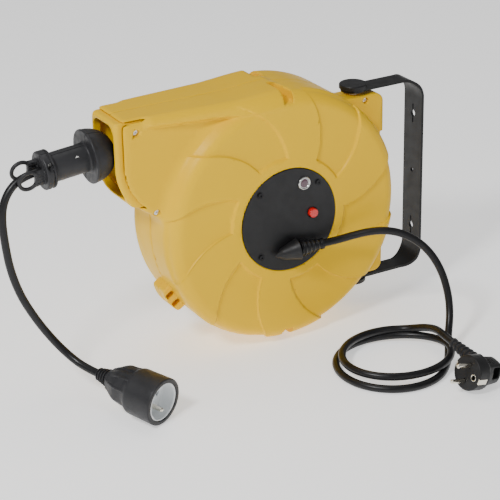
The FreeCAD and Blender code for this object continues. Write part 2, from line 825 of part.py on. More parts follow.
# the mains lead, from the faceplate's boot to the coil
LEAD_ROUTE = [LEAD_EXIT, LEAD_EXIT + boot_direction() * 16, V(66, -67.5, -28.5), V(84, -77, -23.5),
              V(103, -87.5, -22.5), V(121, -98, -28.5), V(138, -111, -43), V(148, -124, -65),
              V(151, -135, -91), V(147, -145, -113), V(136, -155, -131)]

# its other end, from the plug's boot to the coil
TAIL_ROUTE = [BOOT_TIP, BOOT_TIP + PLUG_CORD_AXIS * 14, V(121.5, -155, -119), V(119.5, -135, -124.5),
              V(113, -117, -132)]


def cord_tube(name, route):
    """Tube along straight runs joined by tangent arcs; prints its radii and length."""
    start = route[0]
    edges = []
    radii = []
    for before, corner, after in zip(route, route[1:], route[2:]):
        way_in = (corner - before).normalize()
        way_out = (after - corner).normalize()
        half_turn = way_in.getAngle(way_out) / 2
        reach = 0.45 * min((corner - before).Length, (after - corner).Length)
        radius = reach / math.tan(half_turn)
        radii.append(round(radius, 1))
        enter = corner - way_in * reach
        leave = corner + way_out * reach
        inwards = (way_out - way_in).normalize()
        middle = corner + inwards * (radius / math.cos(half_turn) - radius)
        edges.append(line(start, enter))
        edges.append(arc(enter, middle, leave))
        start = leave
    edges.append(line(start, route[-1]))
    path = Part.Wire(edges)
    first_run = (route[1] - route[0]).normalize()
    section = Part.Wire([Part.Circle(route[0], first_run, CORD_R).toShape()])
    solid = path.makePipeShell([section], True, False)
    length = path.Length
    exact = math.pi * CORD_R ** 2 * length
    print(name, "radii", radii, "length %.1f" % length, "volume ratio %.4f" % (solid.Volume / exact))
    return solid


def ellipse_disc(centre, rx, ry, height):
    outline = Part.Ellipse(centre, rx, ry).toShape()
    return Part.Face(Part.Wire([outline])).extrude(V(0, 0, height))


def lead_coil():
    """Two turns of the lead, one lying on the other, as flat rings."""
    lower = Part.makeCylinder(LOWER_TURN_R + CORD_R, TURN_HEIGHT, LOWER_TURN)
    lower = lower.cut(Part.makeCylinder(LOWER_TURN_R - CORD_R, TURN_HEIGHT, LOWER_TURN))
    upper = ellipse_disc(UPPER_TURN, UPPER_TURN_RX + CORD_R, UPPER_TURN_RY + CORD_R, TURN_HEIGHT)
    upper = upper.cut(ellipse_disc(UPPER_TURN, UPPER_TURN_RX - CORD_R, UPPER_TURN_RY - CORD_R, TURN_HEIGHT))
    return fuse([lower, upper])


def inner_cord():
    """The taut run from the drum to the ball stop, and through it."""
    tangent = STOP_FACE.dot(STOP_OUT)
    return rod(CORD_R, stop_point(-tangent), STOP_OUT, tangent + COLLAR_END)


# ---------------------------------------------------------------- coupling socket
def coupling_part(profile):
    return turned(profile, COUPLING_END, COUPLING_AXIS)


def coupling_point(along, across=0.0, down=0.0):
    """Point in the coupling's own directions, from its cord end."""
    side = COUPLING_AXIS.cross(Z_AXIS).normalize()
    up = side.cross(COUPLING_AXIS)
    return COUPLING_END + COUPLING_AXIS * along + side * across - up * down


def coupling_boot():
    return coupling_part(ribbed(17.0, 4, 6.3, 9.5, 2.0))


def coupling_body():
    return coupling_part([(17, 0), (17, 12.5), (21, 14.0), (36, 20.0), (48, 21.5), (54, 25.0),
                          (84, 25.5), (86, 24.6), (86, 20.6), (67, 20.6), (67, 0)])


def coupling_insert():
    cup = coupling_part([(67, 0), (67, 20.5), (85.2, 20.5), (85.2, 18.9), (70, 18.9), (70, 0)])
    for side in (-1, 1):
        cup = cup.cut(rod(2.7, coupling_point(66, CONTACT_SIDE * side), COUPLING_AXIS, 10))
    return cup.cut(rod(PIN_R, coupling_point(66, 0, EARTH_DOWN), COUPLING_AXIS, 10))


def coupling_earth_pin():
    return rod(PIN_R, coupling_point(67, 0, EARTH_DOWN), COUPLING_AXIS, 14.5)


# ---------------------------------------------------------------- mains plug
def plug_box(a0, a1, c0, c1, p0, p1):
    """Box in the plug's own directions: along its axis, towards its cord, along its pins."""
    corners = [plug_point(a0, c0, p0), plug_point(a0, c1, p0), plug_point(a0, c1, p1),
               plug_point(a0, c0, p1)]
    face = Part.Face(Part.makePolygon(corners + [corners[0]]))
    return face.extrude(PLUG_AXIS * (a1 - a0))


def clip_box(side, a0, a1, thick, wide):
    """Earth clip, or the slot that it lies in, at one side of the face."""
    middle = 18.0 * side
    return plug_box(a0, a1, middle - thick, middle + thick, -wide, wide)


def plug_body():
    front = rod(19.0, plug_point(-16), PLUG_AXIS, 16)
    back = turned([(-38, 0), (-38, 13), (-15, 17), (-15, 0)], PLUG_FACE, PLUG_AXIS)
    neck = rod(9.5, plug_point(-PLUG_BOOT_AT), PLUG_CORD_AXIS, PLUG_NECK)
    grip = plug_box(-43, -15, -12, 8, -14, 8)
    body = fuse([front, back, neck, grip])
    body = body.cut(plug_box(-39, -23, -25, 0, -11.5, 0.5))
    body = body.cut(rod(2.5, plug_point(-14, -10), PLUG_AXIS, 20))
    for side in (-1, 1):
        body = body.cut(clip_box(side, -12, 1, 1.2, 3.2))
        body = body.cut(rod(PIN_R, plug_point(-8, 0, CONTACT_SIDE * side), PLUG_AXIS, 10))
    return body.removeSplitter()


def plug_boot():
    start = plug_point(-PLUG_BOOT_AT, PLUG_NECK)
    return turned(ribbed(PLUG_BOOT_LENGTH, 5, 8.6, 5.6, 1.5), start, PLUG_CORD_AXIS)


def plug_pins():
    return group([rod(PIN_R, plug_point(-8, 0, CONTACT_SIDE * side), PLUG_AXIS, 27) for side in (-1, 1)])


def plug_earth_clips():
    return group([clip_box(side, -11.8, -0.4, 0.9, 3.0) for side in (-1, 1)])


# ---------------------------------------------------------------- build
def save_bracket():
    save("wall_bracket", wall_bracket())
    save("upper_pivot_knob", pivot_knob())
    save("lower_pivot_knob", pivot_knob().mirror(ORIGIN, Z_AXIS))
    save("pivot_bolts", both_ends(pivot_bolt()))


def save_housing():
    save("front_shell", front_shell())
    save("rear_shell", rear_shell())
    save("outlet_frame", outlet_frame())
    save("pivot_bushes", both_ends(pivot_bush()))
    save("case_screws", case_screws())
    save("faceplate", faceplate())
    save("faceplate_screws", faceplate_screws())
    save("pilot_lens", pilot_lens())
    save("reset_button", reset_button())
    save("button_spring", button_spring())
    save("thermal_cutout", thermal_cutout())
    save("lead_boot", lead_boot())
    save("main_axle", main_axle())
    save("axle_nut", axle_nut())
    save("brush_holder", brush_holder())
    save("carbon_brushes", carbon_brushes())
    save("terminal_block", terminal_block())
    save("spring_arbor", spring_arbor())
    save("pawl_pin", pawl_pin())
    save("pawl", pawl())
    save("pawl_spring", pawl_spring())


def save_drum():
    save("drum_core", drum_core())
    save("drum_front_flange", drum_front_flange())
    save("drum_rear_flange", flange(DRUM_REAR_Y - FLANGE_T))
    save("drum_bushes", drum_bushes())
    save("drum_screws", drum_screws())
    save("slip_ring_disc", slip_ring_disc())
    save("slip_rings", slip_rings())
    save("mainspring", mainspring())
    save("spring_cover", spring_cover())
    save("ratchet_ring", ratchet_ring())
    save("cord_pack", cord_pack())


def save_cords():
    save("stopper_front_half", stopper_half(-1))
    save("stopper_rear_half", stopper_half(1))
    save("stopper_screws", stopper_screws())
    save("inner_cord", inner_cord())
    save("output_cord", cord_tube("output_cord", OUTPUT_ROUTE))
    save("coupling_boot", coupling_boot())
    save("coupling_body", coupling_body())
    save("coupling_insert", coupling_insert())
    save("coupling_earth_pin", coupling_earth_pin())
    save("mains_lead", cord_tube("mains_lead", LEAD_ROUTE))
    save("mains_lead_coil", lead_coil())
    save("mains_lead_tail", cord_tube("mains_lead_tail", TAIL_ROUTE))
    save("plug_body", plug_body())
    save("plug_boot", plug_boot())
    save("plug_pins", plug_pins())
    save("plug_earth_clips", plug_earth_clips())


os.makedirs("parts", exist_ok=True)
save_bracket()
save_housing()
save_drum()
save_cords()
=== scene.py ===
"""Looks of the wall-mounted extension cord reel: visible meshes, materials, light and camera.

Shapes are drawn in millimetres about the drum's axis, as in the part's source:
X towards the wall, Y towards the rear shell, Z up.  row() and the mesh makers
turn them into metres in the frame's own coordinates.
"""
import json
import math

import bpy
import numpy as np
import openvdb
from mathutils import Matrix, Vector


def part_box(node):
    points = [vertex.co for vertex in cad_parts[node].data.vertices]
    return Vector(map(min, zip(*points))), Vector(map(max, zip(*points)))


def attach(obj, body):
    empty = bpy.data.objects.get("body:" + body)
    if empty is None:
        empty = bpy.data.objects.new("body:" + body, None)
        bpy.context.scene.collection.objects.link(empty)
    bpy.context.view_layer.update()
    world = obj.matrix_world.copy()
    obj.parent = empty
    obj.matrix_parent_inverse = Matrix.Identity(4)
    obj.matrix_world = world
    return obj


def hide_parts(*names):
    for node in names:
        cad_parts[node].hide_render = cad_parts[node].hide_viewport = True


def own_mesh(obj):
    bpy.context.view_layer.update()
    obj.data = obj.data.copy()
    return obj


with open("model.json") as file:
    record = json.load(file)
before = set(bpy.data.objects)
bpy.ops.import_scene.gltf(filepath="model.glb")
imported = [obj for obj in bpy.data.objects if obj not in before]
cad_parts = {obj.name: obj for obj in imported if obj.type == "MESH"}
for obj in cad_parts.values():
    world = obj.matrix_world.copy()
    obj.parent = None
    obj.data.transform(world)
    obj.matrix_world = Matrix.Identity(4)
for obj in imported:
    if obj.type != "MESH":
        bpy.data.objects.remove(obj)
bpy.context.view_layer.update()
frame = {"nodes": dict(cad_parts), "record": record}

# ---------------------------------------------------------------- sizes
MM = 0.001
DRUM_LOW, DRUM_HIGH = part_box("cord_pack")
DRUM_X = (DRUM_LOW[0] + DRUM_HIGH[0]) / 2       # the drum's axis in the frame, metres
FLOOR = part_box("mains_lead_coil")[0][2] / MM

CASE_R = 142.0
CASE_HALF = 50.0
CASE_EDGE = 15.0
WALL = 3.0
NOZZLE_X = -187.5
NOZZLE_HALF = 32.0
BLOCK_START_X = 60.0
BLOCK_END_X = 146.5
BLOCK_HALF_Z = 110.0
BLOCK_HALF_Y = 15.0
SEAT_R = 58.5
PORT_R = 36.0
RING_R = 70.0               # the plain ring round the faceplate ends here
FAN_PITCH = 60.0
FAN_DEPTH = 2.6
LIP_OUT = 4.0
LIP_HALF = 27.5
MOUTH_HALF = 23.0
MOUTH_TOP = 134.0
MOUTH_BOTTOM = 50.0
RECESS_FLOOR = 131.0
# x, z and how far in front of the parting plane the floor of the screw's well is;
# the first two are in the nozzle
CASE_SCREWS = ((-168.2, 127.0, 26.0), (-148.0, 35.0, 26.0), (120.5, 101.5, 9.0), (120.5, -101.5, 9.0),
               (-0.5, 135.0, 13.0), (0.5, -135.0, 13.0))
SHELL_STEP = 1.3         # cell size of the shells' meshes

CORD_D = 8.5
CORD_R = CORD_D / 2

STOP_FACE = np.array([-212.0, 0.0, 100.6])
STOP_TILT = math.radians(5.3)
STOP_OUT = np.array([-math.cos(STOP_TILT), 0.0, -math.sin(STOP_TILT)])
STOP_ROLL = math.radians(-16.0)
BALL_R = 28.5
FLANGE_R = 29.0
BARREL_R = 15.5
COLLAR_AT = 45.5            # along the cord from the stop's face, as LOOP_AT is
COLLAR_R = 20.5
LOOP_AT = 68.0
LOOP_R = 10.0
LOOP_WIRE_R = 2.1
LOOP_OFF = 9.5              # how far to the side of the cord each loop is

COUPLING_END = np.array([-239.0, -62.0, -114.0])
COUPLING_AXIS = np.array([0.40, -0.913, -0.08])
PLUG_FACE = np.array([95.2, -247.0, -124.0])
PLUG_AXIS = np.array([-0.957, -0.13, 0.26])
PLUG_CORD_AXIS = np.array([-0.081, 0.976, 0.19])
PLUG_BOOT_AT = 31.0
PLUG_NECK = 20.0
PLUG_BOOT_LENGTH = 37.0

BOOT_START = np.array([4.5, -61.0, -31.0])
LEAD_EXIT = np.array([34.5, -62.0, -31.5])

PIN_OFF = 9.5               # from the middle of the plug or socket to each pin or hole
EARTH_OFF = 10.0
COIL_R = 60.0


def unit(v):
    return np.asarray(v, float) / np.linalg.norm(v)


COUPLING_AXIS = unit(COUPLING_AXIS)
PLUG_AXIS = unit(PLUG_AXIS)
PLUG_CORD_AXIS = unit(PLUG_CORD_AXIS)
PLUG_PIN_LINE = unit(np.cross(PLUG_AXIS, PLUG_CORD_AXIS))


def row(point):
    """A point about the drum in millimetres, as a vector in the frame in metres."""
    return Vector((point[0] * MM + DRUM_X, point[1] * MM, point[2] * MM))


# ---------------------------------------------------------------- camera
def make_camera():
    """Long-lens camera at the front left, looking a little down, rolled slightly."""
    distance = 1900.0
    turn, lift, roll = math.radians(29.5), math.radians(24.2), math.radians(1.2)
    aim_left, aim_below = 42.473, 32.581        # from the faceplate's middle to the point looked at
    ahead = Vector((math.sin(turn) * math.cos(lift), math.cos(turn) * math.cos(lift), -math.sin(lift)))
    right = Vector((math.cos(turn), -math.sin(turn), 0))
    low = ahead.cross(right)
    if low.z > 0:
        low.negate()
    right_rolled = right * math.cos(roll) + low * math.sin(roll)
    low_rolled = low * math.cos(roll) - right * math.sin(roll)
    offset = ahead * distance + right_rolled * aim_left - low_rolled * aim_below
    place = row((0, -CASE_HALF, 0)) - offset * MM
    data = bpy.data.cameras.new("camera")
    data.sensor_width = 36.0
    data.lens = 127.224
    data.clip_start = 0.05
    data.clip_end = 30.0
    camera = bpy.data.objects.new("camera", data)
    bpy.context.scene.collection.objects.link(camera)
    turned = Matrix((right_rolled, -low_rolled, -ahead)).transposed()
    camera.matrix_world = Matrix.Translation(place) @ turned.to_4x4()
    bpy.context.scene.camera = camera


make_camera()


# ---------------------------------------------------------------- materials
class Finish:
    """A procedural material with constants on the shader's own sockets."""

    def __init__(self, name, color, roughness, metallic=0.0, coat=0.0, coat_rough=0.05, specular=0.5):
        self.material = bpy.data.materials.new(name)
        self.material.use_nodes = True
        self.tree = self.material.node_tree
        self.shader = self.tree.nodes["Principled BSDF"]
        self.color = (*color, 1.0)
        self.shader.inputs["Base Color"].default_value = self.color
        self.shader.inputs["Roughness"].default_value = roughness
        self.shader.inputs["Metallic"].default_value = metallic
        self.shader.inputs["Coat Weight"].default_value = coat
        self.shader.inputs["Coat Roughness"].default_value = coat_rough
        self.shader.inputs["Specular IOR Level"].default_value = specular
        self.place = self.tree.nodes.new("ShaderNodeTexCoord").outputs["Object"]
        self.height = None

    def add(self, kind, **values):
        node = self.tree.nodes.new(kind)
        for name, value in values.items():
            if name in node.inputs:
                node.inputs[name].default_value = value
            else:
                setattr(node, name, value)
        return node

    def link(self, output, target):
        self.tree.links.new(output, target)

    def noise(self, scale, detail=3.0, stretch=None):
        """Noise in object space; scale is in features per metre."""
        node = self.add("ShaderNodeTexNoise", Scale=scale, Detail=detail)
        source = self.place
        if stretch:
            mapping = self.add("ShaderNodeMapping", Scale=stretch)
            self.link(self.place, mapping.inputs["Vector"])
            source = mapping.outputs["Vector"]
        self.link(source, node.inputs["Vector"])
        return node.outputs["Fac"]

    def ramp(self, source, low, high, out_low, out_high):
        """Turns low to high of the source into out_low to out_high."""
        node = self.add("ShaderNodeMapRange")
        limits = {"From Min": low, "From Max": high, "To Min": out_low, "To Max": out_high}
        for name, value in limits.items():
            node.inputs[name].default_value = value
        self.link(source, node.inputs["Value"])
        return node.outputs["Result"]

    def tint(self, amount_from, other):
        """Mixes another colour in where amount_from is high."""
        node = self.add("ShaderNodeMix", data_type="RGBA")
        base = self.shader.inputs["Base Color"]
        if base.is_linked:
            self.link(base.links[0].from_socket, node.inputs["A"])
        else:
            node.inputs["A"].default_value = self.color
        node.inputs["B"].default_value = (*other, 1.0)
        self.link(amount_from, node.inputs["Factor"])
        self.link(node.outputs["Result"], base)
        return self

    def vary_roughness(self, scale, low, high, stretch=None):
        self.link(self.ramp(self.noise(scale, 4.0, stretch), 0.3, 0.7, low, high),
                  self.shader.inputs["Roughness"])
        return self

    def bump(self, source, depth):
        """Adds a bump of depth metres on top of what is there."""
        node = self.add("ShaderNodeBump", Strength=1.0, Distance=depth)
        self.link(source, node.inputs["Height"])
        if self.height:
            self.link(self.height, node.inputs["Normal"])
        self.height = node.outputs["Normal"]
        self.link(self.height, self.shader.inputs["Normal"])
        return self


def moulded_yellow():
    """Glossy polypropylene: faint flow marks, a slight orange peel and fine scuffs."""
    f = Finish("moulded_yellow", (0.90, 0.54, 0.0), 0.34, specular=0.16)
    f.tint(f.ramp(f.noise(9.0, 2.0), 0.35, 0.7, 0.0, 0.3), (0.94, 0.60, 0.0))
    f.tint(f.ramp(f.noise(1400.0, 2.0), 0.62, 0.8, 0.0, 0.25), (0.78, 0.44, 0.0))
    f.vary_roughness(60.0, 0.30, 0.42)
    return f.bump(f.noise(900.0, 2.0), 0.00003).bump(f.noise(120.0, 1.0), 0.00012)


def rubber_like(name, color, low, high, grain, depth):
    """Dark matt moulding; its roughness runs from low to high."""
    f = Finish(name, color, (low + high) / 2, specular=0.35)
    pale = tuple(c * 1.7 + 0.002 for c in color)
    f.tint(f.ramp(f.noise(40.0, 3.0), 0.4, 0.75, 0.0, 0.5), pale)
    f.vary_roughness(150.0, low, high)
    return f.bump(f.noise(grain, 3.0), depth)


def black_moulding():
    return rubber_like("black_moulding", (0.011, 0.011, 0.012), 0.36, 0.52, 2600.0, 0.00006)


def stop_rubber():
    return rubber_like("stop_rubber", (0.020, 0.020, 0.022), 0.38, 0.56, 2200.0, 0.00008)


def cord_rubber():
    """Sheath of the cord: satin black rubber with faint lengthwise drag marks."""
    return rubber_like("cord_rubber", (0.006, 0.006, 0.007), 0.30, 0.44, 1200.0, 0.00004)


def painted_steel():
    """Black stoved paint with a light texture."""
    f = Finish("painted_steel", (0.006, 0.006, 0.007), 0.42, specular=0.3)
    f.tint(f.ramp(f.noise(700.0, 3.0), 0.6, 0.8, 0.0, 0.3), (0.02, 0.02, 0.021))
    f.vary_roughness(90.0, 0.30, 0.46)
    return f.bump(f.noise(1500.0, 2.0), 0.00005)


def plated(name, color, roughness, streak=(1.0, 1.0, 1.0)):
    f = Finish(name, color, roughness, metallic=1.0)
    f.tint(f.ramp(f.noise(300.0, 4.0), 0.45, 0.75, 0.0, 0.4), tuple(c * 0.72 for c in color))
    f.vary_roughness(800.0, roughness * 0.7, roughness * 1.5, stretch=streak)
    return f.bump(f.noise(2500.0, 2.0, streak), 0.00001)


def shiny_plastic(name, color, roughness):
    f = Finish(name, color, roughness, coat=0.5, coat_rough=0.06)
    f.tint(f.ramp(f.noise(500.0, 2.0), 0.5, 0.8, 0.0, 0.3), tuple(c * 0.8 for c in color))
    f.vary_roughness(200.0, roughness * 0.8, roughness * 1.4)
    return f.bump(f.noise(1800.0, 2.0), 0.00002)


def pilot_glass():
    """Dark, slightly purple lens."""
    return shiny_plastic("pilot_glass", (0.11, 0.055, 0.075), 0.12)


def grey_insert():
    f = Finish("grey_insert", (0.78, 0.81, 0.83), 0.30, coat=0.3, coat_rough=0.2)
    f.tint(f.ramp(f.noise(80.0, 2.0), 0.4, 0.7, 0.0, 0.4), (0.84, 0.87, 0.88))
    f.vary_roughness(200.0, 0.26, 0.42)
    return f.bump(f.noise(1500.0, 2.0), 0.00003)


def dull_plastic(name, color):
    f = Finish(name, color, 0.5)
    f.tint(f.ramp(f.noise(60.0, 2.0), 0.4, 0.7, 0.0, 0.4), tuple(c * 0.8 for c in color))
    f.vary_roughness(300.0, 0.42, 0.6)
    return f.bump(f.noise(1200.0, 2.0), 0.00005)


FINISHES = {
    "yellow": moulded_yellow(),
    "black_steel": painted_steel(),
    "steel": plated("turned_steel", (0.55, 0.55, 0.56), 0.3, (1.0, 30.0, 1.0)),
    "zinc": plated("bright_zinc", (0.72, 0.72, 0.70), 0.24),
    "black_moulding": black_moulding(),
    "stop_rubber": stop_rubber(),
    "cord_rubber": cord_rubber(),
    "red_button": shiny_plastic("red_button", (0.72, 0.016, 0.014), 0.22),
    "lens": pilot_glass(),
    "grey_insert": grey_insert(),
    "nickel": plated("nickel", (0.80, 0.76, 0.66), 0.14),
    "brass": plated("brass", (0.72, 0.50, 0.20), 0.25),
    "carbon": dull_plastic("carbon", (0.03, 0.03, 0.03)),
    "drum_plastic": dull_plastic("drum_plastic", (0.035, 0.035, 0.037)),
    "bush_nylon": dull_plastic("bush_nylon", (0.72, 0.70, 0.64)),
    "spring_steel": plated("spring_steel", (0.22, 0.23, 0.27), 0.35),
}


def dress(piece, slot):
    piece.data.materials.clear()
    piece.data.materials.append(FINISHES[slot].material)


# ---------------------------------------------------------------- meshes
def add_mesh(name, points, faces, slot, normals=None):
    """New smooth-shaded piece from points about the drum, in millimetres."""
    mesh = bpy.data.meshes.new(name)
    placed = np.asarray(points, float) * MM
    placed[:, 0] += DRUM_X
    mesh.from_pydata(placed.tolist(), [], faces)
    mesh.validate()
    mesh.polygons.foreach_set("use_smooth", [True] * len(mesh.polygons))
    if normals is not None:
        mesh.normals_split_custom_set_from_vertices(normals.tolist())
    piece = bpy.data.objects.new(name, mesh)
    bpy.context.scene.collection.objects.link(piece)
    dress(piece, slot)
    return piece


def finish_piece(piece, body, slot, *nodes):
    """The piece rides on its body, and stands for its CAD nodes."""
    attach(piece, body)
    if nodes:
        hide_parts(*nodes)
    return piece


def gradient(field, points):
    """Slope of the field at each point."""
    reach = 0.02
    x, y, z = points.T
    parts = [field(x + reach, y, z) - field(x - reach, y, z),
             field(x, y + reach, z) - field(x, y - reach, z),
             field(x, y, z + reach) - field(x, y, z - reach)]
    return np.stack(parts, axis=1) / (2 * reach)


def moulded(name, field, low, high, step, slot, merge=0.0):
    """Piece whose surface is where field(x, y, z) is zero, inside the box low to high."""
    axes = [np.arange(a, b + step, step) for a, b in zip(low, high)]
    x, y, z = np.meshgrid(*axes, indexing="ij", sparse=True)
    values = np.broadcast_to(field(x, y, z), [len(axis) for axis in axes])
    grid = openvdb.FloatGrid(background=step * 3)
    grid.copyFromArray(np.ascontiguousarray(np.clip(values, -step * 3, step * 3), dtype=np.float32))
    points, triangles, quads = grid.convertToPolygons(isovalue=0.0, adaptivity=merge)
    points = np.asarray(points, float) * step + np.array(low)
    for _ in range(3):      # moves each point onto the exact surface
        slope = gradient(field, points)
        steepness = np.maximum((slope ** 2).sum(axis=1), 0.2)
        shift = slope * (field(*points.T) / steepness)[:, None]
        length = np.linalg.norm(shift, axis=1)[:, None]
        points -= shift * np.minimum(1.0, step * 0.5 / np.maximum(length, 1e-9))
    slope = gradient(field, points)
    normals = slope / np.maximum(np.linalg.norm(slope, axis=1), 1e-9)[:, None]
    corners = np.concatenate([triangles, quads[:, :3], quads[:, [0, 2, 3]]])
    a, b, c = (points[corners[:, index]] for index in range(3))
    order = slice(None, None, 1 if (np.cross(a, b) * c).sum() > 0 else -1)
    faces = quads[:, order].tolist() + triangles[:, order].tolist()
    return add_mesh(name, points, faces, slot, normals)


def soft_min(a, b, k):
    """Union of two fields with a fillet of about k."""
    h = np.maximum(k - np.abs(a - b), 0) / k
    return np.minimum(a, b) - h * h * k / 4


def soft_max(a, b, k):
    """Intersection of two fields with a rounded edge of about k."""
    return -soft_min(-a, -b, k)


def rounded(u, v, r):
    """Intersection of two fields with an exact edge radius r."""
    inside = np.minimum(np.maximum(u, v), -r)
    return inside + np.hypot(np.maximum(u + r, 0), np.maximum(v + r, 0))


def smoothstep(value, low, high):
    t = np.clip((value - low) / (high - low), 0, 1)
    return t * t * (3 - 2 * t)


def box_field(u, v, w, half, r):
    """Box of half sizes half about the origin of u, v, w, with its edges rounded."""
    du, dv, dw = abs(u) - half[0] + r, abs(v) - half[1] + r, abs(w) - half[2] + r
    outside = np.sqrt(np.maximum(du, 0) ** 2 + np.maximum(dv, 0) ** 2 + np.maximum(dw, 0) ** 2)
    return outside + np.minimum(np.maximum(np.maximum(du, dv), dw), 0) - r


def outline_field(points, u, v):
    """Distance to a closed outline, negative inside."""
    nearest = None
    inside = None
    for (ax, ay), (bx, by) in zip(points, points[1:] + points[:1]):
        ex, ey = bx - ax, by - ay
        t = np.clip(((u - ax) * ex + (v - ay) * ey) / (ex * ex + ey * ey), 0, 1)
        d = (u - ax - ex * t) ** 2 + (v - ay - ey * t) ** 2
        crosses = ((ay > v) != (by > v)) & (u < ex * (v - ay) / (ey if abs(ey) > 1e-9 else 1e-9) + ax)
        nearest = d if nearest is None else np.minimum(nearest, d)
        inside = crosses if inside is None else inside ^ crosses
    return np.where(inside, -1, 1) * np.sqrt(nearest)


def arc_points(a, middle, b, count):
    """Points on the circle through three points, from a to b."""
    ax, ay, bx, by, cx, cy = *a, *middle, *b
    d = 2 * (ax * (by - cy) + bx * (cy - ay) + cx * (ay - by))
    ux = ((ax**2 + ay**2) * (by - cy) + (bx**2 + by**2) * (cy - ay) + (cx**2 + cy**2) * (ay - by)) / d
    uy = ((ax**2 + ay**2) * (cx - bx) + (bx**2 + by**2) * (ax - cx) + (cx**2 + cy**2) * (bx - ax)) / d
    radius = math.hypot(ax - ux, ay - uy)
    start = math.atan2(ay - uy, ax - ux)
    end = math.atan2(cy - uy, cx - ux)
    turn = (end - start + math.pi) % (2 * math.pi) - math.pi
    angles = [start + turn * i / count for i in range(count + 1)]
    return [(ux + radius * math.cos(t), uy + radius * math.sin(t)) for t in angles]


# ---------------------------------------------------------------- housing shells
def nozzle_outline():
    """Side view of the nozzle: flat top, rounded outer corner, curved belly."""
    corner_r = 10.0
    bulge = corner_r * (1 - math.sqrt(0.5))
    top_corner = arc_points((NOZZLE_X + corner_r, CASE_R), (NOZZLE_X + bulge, CASE_R - bulge),
                            (NOZZLE_X, CASE_R - corner_r), 6)
    belly = arc_points((NOZZLE_X, 92), (-179.5, 60), (-151, 31), 10)
    return [(0, CASE_R)] + top_corner + belly + [(-90, 0), (0, 0)]


NOZZLE_OUTLINE = nozzle_outline()


def fan_depth(x, z, s):
    """How deep the fan pattern is at a place; s is the distance in front of the parting plane."""
    r = np.hypot(x, z)
    sweep = 20.0 * (np.clip(r - 62.0, 0, None) / 80.0) ** 1.5
    angle = np.degrees(np.arctan2(z, x)) - sweep
    within = np.mod(angle, FAN_PITCH)
    from_edge = np.minimum(within - FAN_PITCH / 2, FAN_PITCH - within) * np.radians(1.0) * r
    sides = smoothstep(from_edge, -1.6, 1.6)
    inner = smoothstep(r, RING_R - 1.0, RING_R + 1.6)
    rim = smoothstep(s, 31.0, 37.0)
    return FAN_DEPTH * sides * inner * rim


def nozzle_field(x, s, z):
    """Field of the nozzle, and the distance to its outline in side view."""
    flat = outline_field(NOZZLE_OUTLINE, x, z)
    return rounded(flat, s - NOZZLE_HALF, 8.0), flat


def mount_block(x, s, z):
    """Block on the wall side that carries the pivots, with two notches in its far face."""
    half_x = (BLOCK_END_X - BLOCK_START_X) / 2
    plan = box_field(x - BLOCK_START_X - half_x, 0, z, (half_x, 5, BLOCK_HALF_Z), 13.0)
    notch = box_field(x - BLOCK_END_X, 0, abs(z) - 57.0, (6.5, 5, 5.0), 1.0)
    return soft_max(rounded(plan, s - BLOCK_HALF_Y, 2.0), -notch, 1.2)


def inner_room(x, s, z, flat):
    """The hollow of the housing, less what stands in it: two screw posts and the recess walls."""
    radius = np.hypot(x, z)
    room = rounded(radius - CASE_R + 4.5, s - CASE_HALF + 7.6, 12.0)
    throat = rounded(flat + WALL, s - NOZZLE_HALF + WALL, 5.0)
    room = np.minimum(room, throat)
    for px, pz, _ in CASE_SCREWS[:2]:
        room = np.maximum(room, 5.5 - np.hypot(x - px, z - pz))
    for turn in (1, -1):
        walls = np.maximum(np.maximum(-7.2 - x * turn, x * turn - 13.8), 128.0 - z * turn)
        room = np.maximum(room, -walls)
    return room


def lip_seat(x, y, z, flat):
    """Cut in the nozzle that the mouth's frame sits in."""
    seat = np.maximum(np.maximum(-(flat + WALL + 3), abs(y) - LIP_HALF - 2.4), x + 156)
    return np.maximum(seat, np.maximum(MOUTH_BOTTOM - 7.6 - z, z - MOUTH_TOP - 5.6))


def front_cuts(body, x, s, z):
    """The faceplate's seat, the port behind it and the screws' wells."""
    radius = np.hypot(x, z)
    body = soft_max(body, -np.maximum(radius - SEAT_R, CASE_HALF - 3.0 - s), 1.0)
    body = np.maximum(body, -np.maximum(radius - PORT_R, 30.0 - s))
    for px, pz, floor_s in CASE_SCREWS:
        well = np.maximum(np.hypot(x - px, z - pz) - 3.5, floor_s - s)
        body = soft_max(body, -well, 0.8)
    return body


def rear_cuts(body, x, s, z):
    """A shallow ring round the rear face and the axle's hole."""
    radius = np.hypot(x, z)
    groove = np.maximum(abs(radius - 101.0) - 17.0, CASE_HALF - 1.6 - s)
    return np.maximum(soft_max(body, -groove, 1.0), 8.0 - radius)


def rim_recess(x, s, z):
    """D-shaped recess in the rim: flat on its left, rounded on its right."""
    right = 3.4 + 7.4 * np.sqrt(np.clip(1 - ((s - 31.0) / 20.0) ** 2, 0, 1))
    plan = soft_max(soft_max(-4.2 - x, x - right, 1.5), 12.0 - s, 1.5)
    return soft_max(plan, RECESS_FLOOR - z, 1.5)


def lug_field(x, s, z):
    """Small eared lug with two slots, low on the outlet side."""
    angle = math.radians(212.0)
    u = x * math.cos(angle) + z * math.sin(angle)
    w = -x * math.sin(angle) + z * math.cos(angle)
    crown = soft_max(u - 153.5 + 0.011 * w * w, abs(w) - 17.0, 3.0)
    ears = rounded(np.maximum(crown, 136.0 - u), s - 13.0, 2.0)
    for middle in (-6.5, 6.5):
        slot = box_field(u - 146.9, s, w - middle, (4.65, 30, 3.3), 1.6)
        ears = soft_max(ears, -slot, 1.0)
    return ears


def ridge(x, z):
    """How far a ridge stands out under the nozzle's top edge; it grows into the case."""
    grown = np.clip((x + 155) / 105, 0, 1)
    along = smoothstep(x, -163, -151) * (3.8 + 7.0 * grown)
    underside = 131.5 - 5.0 * grown
    return along * smoothstep(z, underside - 3.5, underside + 2.0)


